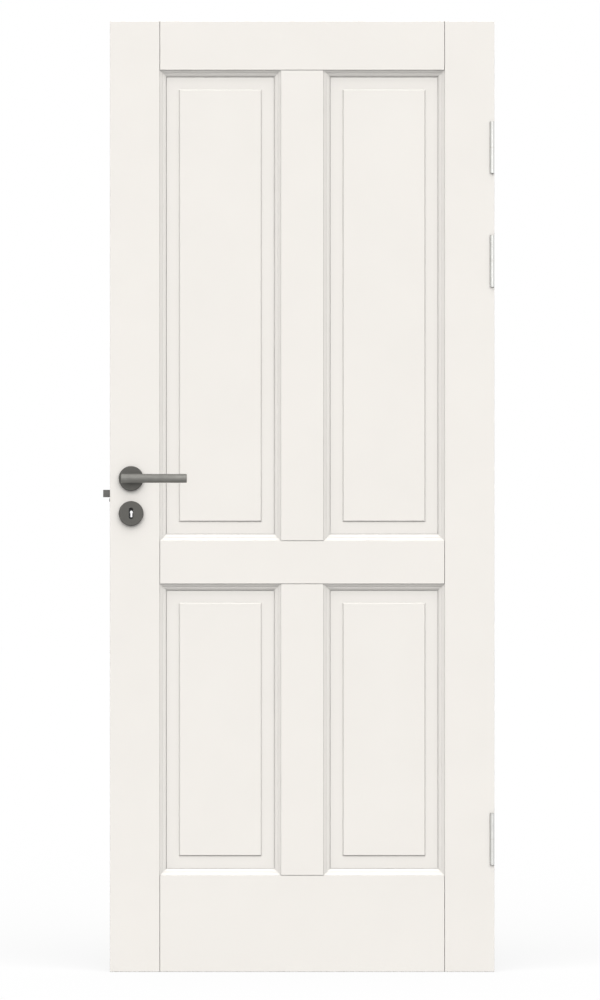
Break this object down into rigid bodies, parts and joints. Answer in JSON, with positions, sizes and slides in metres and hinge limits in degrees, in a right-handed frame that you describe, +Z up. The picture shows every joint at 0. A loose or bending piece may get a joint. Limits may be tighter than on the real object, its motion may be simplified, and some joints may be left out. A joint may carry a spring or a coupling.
{
  "type": "panelled door leaf",
  "caption": "White painted panelled door leaf of stiles, rails and raised panels, with lever handles, mortise lock and lift-off hinges.",
  "frame": {"origin": "middle of the leaf's bottom edge, in the middle of its thickness", "axes": "+X along the width towards the hinges, +Y through the thickness away from the pull face, +Z up"},
  "size_m": [0.84, 0.159, 2.04],
  "materials": {
    "white_paint": "satin white paint",
    "bare_beech": "bare",
    "bright_steel": "satin bright",
    "zinc_steel": "zinc plated",
    "dark_steel": "dark satin",
    "black_nylon": "matt black",
    "brass": "plain"
  },
  "bodies": {
    "root": {"top_frame_flap": "bright_steel", "top_hinge_pin": "bright_steel", "top_hinge_washer": "brass", "middle_frame_flap": "bright_steel", "middle_hinge_pin": "bright_steel", "middle_hinge_washer": "brass", "bottom_frame_flap": "bright_steel", "bottom_hinge_pin": "bright_steel", "bottom_hinge_washer": "brass"},
    "leaf": {"hinge_stile": "white_paint", "lock_stile": "white_paint", "top_rail": "white_paint", "lock_rail": "white_paint", "bottom_rail": "white_paint", "upper_muntin": "white_paint", "lower_muntin": "white_paint", "panel_upper_left": "white_paint", "panel_upper_right": "white_paint", "panel_lower_left": "white_paint", "panel_lower_right": "white_paint", "joint_dowels": "bare_beech", "top_leaf_flap": "bright_steel", "middle_leaf_flap": "bright_steel", "bottom_leaf_flap": "bright_steel", "hinge_screws": "bright_steel", "lock_case": "zinc_steel", "lock_cover": "zinc_steel", "cover_screws": "zinc_steel", "latch_spring": "zinc_steel", "follower_spring": "zinc_steel", "lock_forend": "bright_steel", "forend_screws": "bright_steel", "deadbolt_detent": "bright_steel", "rose_screws": "bright_steel", "escutcheon_screws": "bright_steel", "rose_base_front": "zinc_steel", "escutcheon_base_front": "black_nylon", "rose_cover_front": "dark_steel", "escutcheon_cover_front": "dark_steel", "rose_base_back": "zinc_steel", "escutcheon_base_back": "black_nylon", "rose_cover_back": "dark_steel", "escutcheon_cover_back": "dark_steel"},
    "handle": {"lever_front": "dark_steel", "lever_back": "dark_steel", "spindle": "zinc_steel", "follower": "brass", "grub_screws": "zinc_steel"},
    "latch": {"latch_bolt": "dark_steel"},
    "deadbolt": {"deadbolt": "dark_steel"}
  },
  "joints": [
    {"name": "leaf_swing", "type": "hinge", "parent": "root", "child": "leaf", "pos_m": [0.40775, -0.02, 0], "axis": [0, 0, 1], "range_deg": [0, 175]},
    {"name": "lever_turn", "type": "hinge", "parent": "leaf", "child": "handle", "pos_m": [-0.367, 0, 1.0587], "axis": [0, 1, 0], "range_deg": [0, 45], "stiffness_Nm_per_rad": 1.5, "springref_deg": -22.92, "deforming": ["follower_spring"]},
    {"name": "latch_slide", "type": "slide", "parent": "leaf", "child": "latch", "axis": [1, 0, 0], "range_m": [0, 0.0152], "deforming": ["latch_spring"]},
    {"name": "deadbolt_slide", "type": "slide", "parent": "leaf", "child": "deadbolt", "axis": [-1, 0, 0], "range_m": [0, 0.014], "deforming": ["deadbolt_detent"]}
  ],
  "couplings": [
    {"joint": "latch_slide", "follows": "lever_turn", "m_per_rad": 0.019353}
  ]
}
